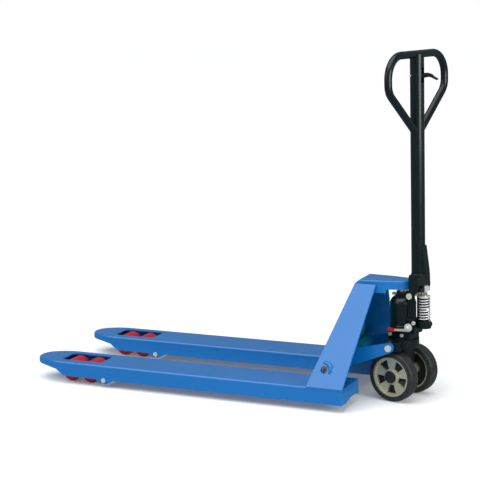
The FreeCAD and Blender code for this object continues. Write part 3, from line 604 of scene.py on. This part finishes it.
# %% Tyres
TYRE_PROFILE = [
    (71, -23), (71.6, -24.6), (73.5, -25), (75.2, -24.6), (76.0, -23.6), (77.5, -23.2), (81.5, -23.2),
    (83.5, -23.0), (86.4, -21.8), (88.6, -19.2), (89.3, -15), (89.6, -8), (89.75, -1.2), (90, -0.5),
    (90, 0.5), (89.75, 1.2), (89.6, 8), (89.3, 15), (88.6, 19.2), (86.4, 21.8), (83.5, 23.0),
    (81.5, 23.2), (77.5, 23.2), (76.0, 23.6), (75.2, 24.6), (73.5, 25), (71.6, 24.6), (71, 23),
]
for side in ("left", "right"):
    wheel = JOINTS[f"steer_wheel_{side}_spin"]
    ring = turned_shape(TYRE_PROFILE, wheel["pos_m"], ACROSS, columns=144)
    body = f"steer_wheel_{side}"
    tyre = piece(f"moulded_tyre_{side}", [ring], body, rubber, close_rows=True)
    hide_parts(f"steer_tyre_{side}")

# %% [markdown]
# ## Hub caps, and the oil filler's screw
#
# A hub cap is a shallow plastic dome with a rolled lip, pressed over the bearing. The filler is a bright
# hexagon screw with a washer face on the tank's shoulder. Both stand in for plain CAD discs.

# %% Turned trim
CAP_PROFILE = [
    (0, -4.3), (20.8, -4.3), (22, -3.6), (22, -1.4), (21.2, -0.4), (20, 0), (18.8, -0.3), (18, -1.1),
    (15.5, -1.2), (12, -0.75), (8, -0.35), (4, -0.1), (0, 0),
]
caps = []
for side, sign in (("left", -1), ("right", 1)):
    outer_face = Vector(JOINTS[f"steer_wheel_{side}_spin"]["pos_m"]) + ACROSS * sign * 26 * MM
    caps.append(turned_shape(CAP_PROFILE, outer_face, ACROSS * sign, columns=72))
hub_caps = piece("hub_caps", caps, "pump", black_plastic)
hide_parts("axle_caps")

SCREW_PROFILE = [(0, 0), (8.2, 0), (8.2, 1.4), (7.4, 1.9), (-6.2, 2.0), (-6.2, 7.2), (-5.6, 8.2), (0, 8.4)]
filler_low, filler_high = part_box("filler_plug")
filler_foot = (filler_low + filler_high) / 2
filler_foot.z = filler_high.z - 9.5 * MM
filler = piece(
    "oil_filler_screw", [turned_shape(SCREW_PROFILE, filler_foot, UP, 72, 6)], "pump", zinc
)
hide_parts("filler_plug")

# %% [markdown]
# ## Inside the spring and the wheels
#
# A black sleeve hangs from the spring's cap over a black guide on the pump. They are painted shade: dark parts
# set behind the bright coils where the spring sits in deep shade, so the coils are seen against black. Behind
# each rim's five windows there is a dark web with radial ribs, set back in the wheel.

# %% Sleeve
cap_low, cap_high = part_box("spring_cap")
sleeve_top = Vector(((cap_low.x + cap_high.x) / 2, (cap_low.y + cap_high.y) / 2, cap_low.z + 0.5 * MM))
# Painted shade: a black sleeve and guide behind the coils, standing in for the shade that the spring sits in.
SLEEVE_PROFILE = [(12.9, 0), (12.9, -36), (13.4, -36.4), (15.4, -36.4), (15.9, -36), (15.9, 0)]
GUIDE_PROFILE = [(10.4, 0), (12.2, 0), (12.6, 0.5), (12.6, 36), (10.4, 36)]
shade_sleeve = turned_shape(SLEEVE_PROFILE, sleeve_top, UP, columns=48)
piece("spring_shade_sleeve", [shade_sleeve], "plunger", black_plastic, close_rows=True)
spring_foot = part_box("plunger_spring")[0].z
guide_foot = Vector((sleeve_top.x, sleeve_top.y, spring_foot - 1 * MM))
shade_guide = turned_shape(GUIDE_PROFILE, guide_foot, UP, columns=48)
piece("spring_shade_guide", [shade_guide], "pump", black_plastic, close_rows=True)

# %% Ribbed webs
RIBS = 30


def ribbed_web(centre, axis, inner, outer, columns=360):
    """A thin ring whose outer face rises at each rib: the height is a power of a cosine of the angle."""
    first, second = side_axes(axis)
    angle = np.arange(columns) * 2 * np.pi / columns
    rise = 3.0 * ((1 + np.cos(RIBS * angle)) / 2) ** 3
    radius = np.array([inner, inner, outer, outer])[:, None] + 0 * angle[None]
    height = np.stack([0 * angle, 3 + rise, 3 + rise, 0 * angle])
    outward = np.cos(angle)[:, None] * np.array(first) + np.sin(angle)[:, None] * np.array(second)
    along = height[..., None] * np.array(axis.normalized())
    return np.array(centre) + (radius[..., None] * outward[None] + along) * MM


for side, sign in (("left", -1), ("right", 1)):
    middle = Vector(JOINTS[f"steer_wheel_{side}_spin"]["pos_m"])
    web = ribbed_web(middle, ACROSS * sign, 24.5, 65.5)
    piece(f"wheel_web_{side}", [web], f"steer_wheel_{side}", black_plastic, close_rows=True)

# %% [markdown]
# ## Screws on the pump
#
# The valve block is closed by a few socket screws and plugs. Each is turned like the filler screw, with a
# hexagonal well in its head, and they are sunk a little into the casting so that no gap shows.

# %% Socket screws
SOCKET_PROFILE = [
    (0, -2), (6.5, -2), (6.5, 4.6), (5.9, 5.2), (-3.4, 5.2), (-3.2, 4.8), (-3.2, 1.6), (0, 1.4),
]
screw_spots = [
    (on_pump(-34, -31, 230.5), -ACROSS),
    (on_pump(14, -31, 230.5), -ACROSS),
    (on_pump(-34, 31, 230.5), ACROSS),
    (on_pump(14, 31, 230.5), ACROSS),
    (on_pump(64, -34, 282), -ACROSS),
    (on_pump(64, 34, 282), ACROSS),
]
screws = [turned_shape(SOCKET_PROFILE, spot, out, 48, 6) for spot, out in screw_spots]
piece("pump_screws", screws, "pump", zinc)

# %% [markdown]
# ## Weld beads
#
# The frame is welded from plate, and a welder's bead is a row of small overlapping scallops. Here the bead
# is a circle carried along its path, whose radius swells and drops at each scallop. Half of it is buried in
# the plates it joins. Every bead is painted with the part it holds.


# %% Beads along a line and round a ring
def scallops(distance, pitch=3.4 * MM):
    """The bead's radius as a share of its full one: a steep front and a slow tail for each scallop."""
    phase = (distance / pitch) % 1
    return 0.84 + 0.16 * np.sqrt(1 - phase)


def line_bead(start, end, radius, columns=10, step=0.85 * MM):
    """A bead between two points: circles square to the line, shrinking to a point at both ends."""
    start, end = Vector(start), Vector(end)
    axis = end - start
    first, second = (np.array(side) for side in side_axes(axis))
    rows = max(8, int(axis.length / step))
    share = np.linspace(0, 1, rows)
    ends = np.clip(np.minimum(share, 1 - share) * axis.length / radius, 0, 1)
    size = radius * scallops(share * axis.length) * np.sqrt(1 - (1 - ends) ** 2)
    angle = np.arange(columns) * 2 * np.pi / columns
    circle = np.cos(angle)[:, None] * first + np.sin(angle)[:, None] * second
    spine = np.array(start) + share[:, None] * np.array(axis)
    return spine[:, None] + size[:, None, None] * circle[None]


def ring_bead(centre, axis, ring_radius, radius, columns=10, step=1.0 * MM):
    """A bead round a tube: circles about a ring, and the last row meets the first."""
    first, second = (np.array(side) for side in side_axes(axis))
    count = int(2 * np.pi * ring_radius / step)
    turn = np.arange(count) * 2 * np.pi / count
    outward = np.cos(turn)[:, None] * first + np.sin(turn)[:, None] * second
    pitch = 2 * np.pi * ring_radius / round(2 * np.pi * ring_radius / (3.4 * MM))
    size = radius * scallops(turn * ring_radius, pitch)
    angle = np.arange(columns) * 2 * np.pi / columns
    across = np.cos(angle)[None, :, None] * outward[:, None]
    upward = np.sin(angle)[None, :, None] * np.array(axis.normalized())
    return np.array(centre) + ring_radius * outward[:, None] + size[:, None, None] * (across + upward)


# %% Beads on the frame
DECK = 85 * MM
FRONT_X = SHAFT.x - 54.5 * MM
THIN_BEAD = 2.4 * MM
THICK_BEAD = 3.4 * MM


def deck_bead(start, end, radius):
    """A bead on the fork's deck: each end is millimetres behind the frame's front, and from the middle."""
    (start_x, start_y), (end_x, end_y) = start, end
    return line_bead(
        (FRONT_X + start_x * MM, start_y * MM, DECK), (FRONT_X + end_x * MM, end_y * MM, DECK), radius
    )


frame_beads = []
for sign in (-1, 1):
    frame_beads.append(deck_bead((4, sign * 280), (131, sign * 280), THIN_BEAD))
    frame_beads.append(deck_bead((10, sign * 270.5), (131, sign * 270.5), THICK_BEAD))
    frame_beads.append(deck_bead((7, sign * 266), (7, sign * 124), THICK_BEAD))
piece("frame_welds", frame_beads, "chassis", blue_paint)

rocker_beads = []
for sign in (-1, 1):
    for face in (93.4, 108.6):
        centre = SHAFT + Vector((0, sign * face * MM, 0))
        rocker_beads.append(ring_bead(centre, Vector((0, 1, 0)), 22.4 * MM, 2.6 * MM))
piece("rocker_welds", rocker_beads, "rocker", blue_paint, close_rows=True)

# %% Beads on the handle
tube_bead = ring_bead(on_pump(64, 0, 452.4), UP, 24.4 * MM, 2.2 * MM)
piece("handle_weld", [tube_bead], "handle", black_enamel, close_rows=True)
gusset_beads = [
    line_bead(on_pump(101.5, side, 452.6), on_pump(80, side, 452.6), 1.9 * MM) for side in (-14, 14)
]
piece("gusset_welds", gusset_beads, "handle", black_enamel)

# %% [markdown]
# ## Small hardware
#
# A greasy nipple sits in each end of the rocker shaft, a snap ring holds each rocker pin, and a nut holds
# the release lever. They are turned shapes again, a few millimetres across.

# %% Nipples, snap rings and the lever's nut
NIPPLE_PROFILE = [
    (0, -1), (-4.5, -1), (-4.5, 2), (3.2, 2.4), (2.3, 3), (2.2, 4.2), (3.0, 5.2), (2.6, 6.6), (1.2, 7.4),
    (0, 7.5),
]
RING_PROFILE = [(9.0, -0.9), (12.2, -0.9), (12.2, 0.9), (9.0, 0.9)]
shaft_low, shaft_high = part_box("rocker_shaft")
SIDEWAYS = Vector((0, 1, 0))
nipples = [
    turned_shape(NIPPLE_PROFILE, Vector((SHAFT.x, edge, SHAFT.z)), SIDEWAYS * sign, 36, 6)
    for edge, sign in ((shaft_low.y, -1), (shaft_high.y, 1))
]
brown, tan = colour(0.05, 0.022, 0.012), colour(0.13, 0.05, 0.025)
greased = metal("greased_steel", brown, tan, 0.3, 0.5, 0.002, bare=0.5)
piece("grease_nipples", nipples, "chassis", greased)

pins_low, pins_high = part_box("rocker_pins")
pin_middle = (pins_low + pins_high) / 2
snap_rings = [
    turned_shape(RING_PROFILE, Vector((pin_middle.x, sign * 93 * MM, pin_middle.z)), SIDEWAYS, 48)
    for sign in (-1, 1)
]
piece("pin_snap_rings", snap_rings, "rocker", steel, close_rows=True)

NUT_PROFILE = [(0, 0), (-7, 0), (-7, 4.6), (-6.2, 5.4), (4.6, 5.4), (4.4, 7.6), (3.6, 8.2), (0, 8.2)]
lever_end = on_pump(52, -56.6, 268)
piece("release_nut", [turned_shape(NUT_PROFILE, lever_end, -ACROSS, 48, 6)], "pump", zinc)

# %% [markdown]
# ## The pillar's pressed crescent
#
# Up and to the rear of the shaft's hole, the side plate has a raised crescent, pressed outward so that the
# shaft can be driven in past it. Its height is a product of two sines: across the band, and along its arc.

# %% Crescents
PILLAR_FOOT = (280 * MM, 85 * MM)
PILLAR_HEAD = (62 * MM, 414 * MM)
LEAN = math.atan2(PILLAR_FOOT[0] - PILLAR_HEAD[0], PILLAR_HEAD[1] - PILLAR_FOOT[1])


def pressed_crescent(sign, near=14 * MM, far=36 * MM, rise=6 * MM, start=-38, finish=112):
    """A raised band round the shaft's hole on the leaning plate, sunk a little so that its rim is buried."""
    slope = np.array((0, -sign * math.sin(LEAN), math.cos(LEAN)))
    out = np.array((0, sign * math.cos(LEAN), math.sin(LEAN)))
    face_y = sign * (PILLAR_FOOT[0] - (SHAFT.z - PILLAR_FOOT[1]) * math.tan(LEAN))
    along, across = np.meshgrid(np.linspace(0, 1, 60), np.linspace(0, 1, 24), indexing="ij")
    turn = np.radians(start + (finish - start) * along)
    width = (far - near) * np.sin(np.pi * along) ** 0.4
    radius = (near + far) / 2 + width * (across - 0.5)
    height = rise * np.sin(np.pi * across) ** 1.3 * np.sin(np.pi * along) ** 0.7 - 0.4 * MM
    level = (radius * np.cos(turn))[..., None] * np.array((1, 0, 0))
    up_slope = (radius * np.sin(turn))[..., None] * slope
    middle = np.array((SHAFT.x, face_y, SHAFT.z))
    return middle + level + up_slope + height[..., None] * out


crescents = [pressed_crescent(sign) for sign in (-1, 1)]
piece("pillar_crescents", crescents, "chassis", blue_paint)

# %% [markdown]
# ## The floor
#
# A plain pale floor catches the soft shadow. It is hidden from reflections, or every upright gloss surface
# would mirror a white floor and the black tube would look grey.

# %% Floor
pale = Finish("floor", Roughness=0.9, Specular_IOR_Level=0.1)
pale.feed(Emission_Color=colour(1, 1, 1), Emission_Strength=0.12)
pale.feed(Base_Color=pale.blend(pale.noise(0.8), colour(0.93, 0.93, 0.93), colour(0.95, 0.95, 0.95)))
floor_mesh = bpy.data.meshes.new("floor")
REACH = 30.0
corners = [(-REACH, -REACH, 0), (REACH, -REACH, 0), (REACH, REACH, 0), (-REACH, REACH, 0)]
floor_mesh.from_pydata(corners, [], [(0, 1, 2, 3)])
floor_mesh.materials.append(pale.material)
floor = bpy.data.objects.new("floor", floor_mesh)
bpy.context.scene.collection.objects.link(floor)
floor.visible_glossy = False
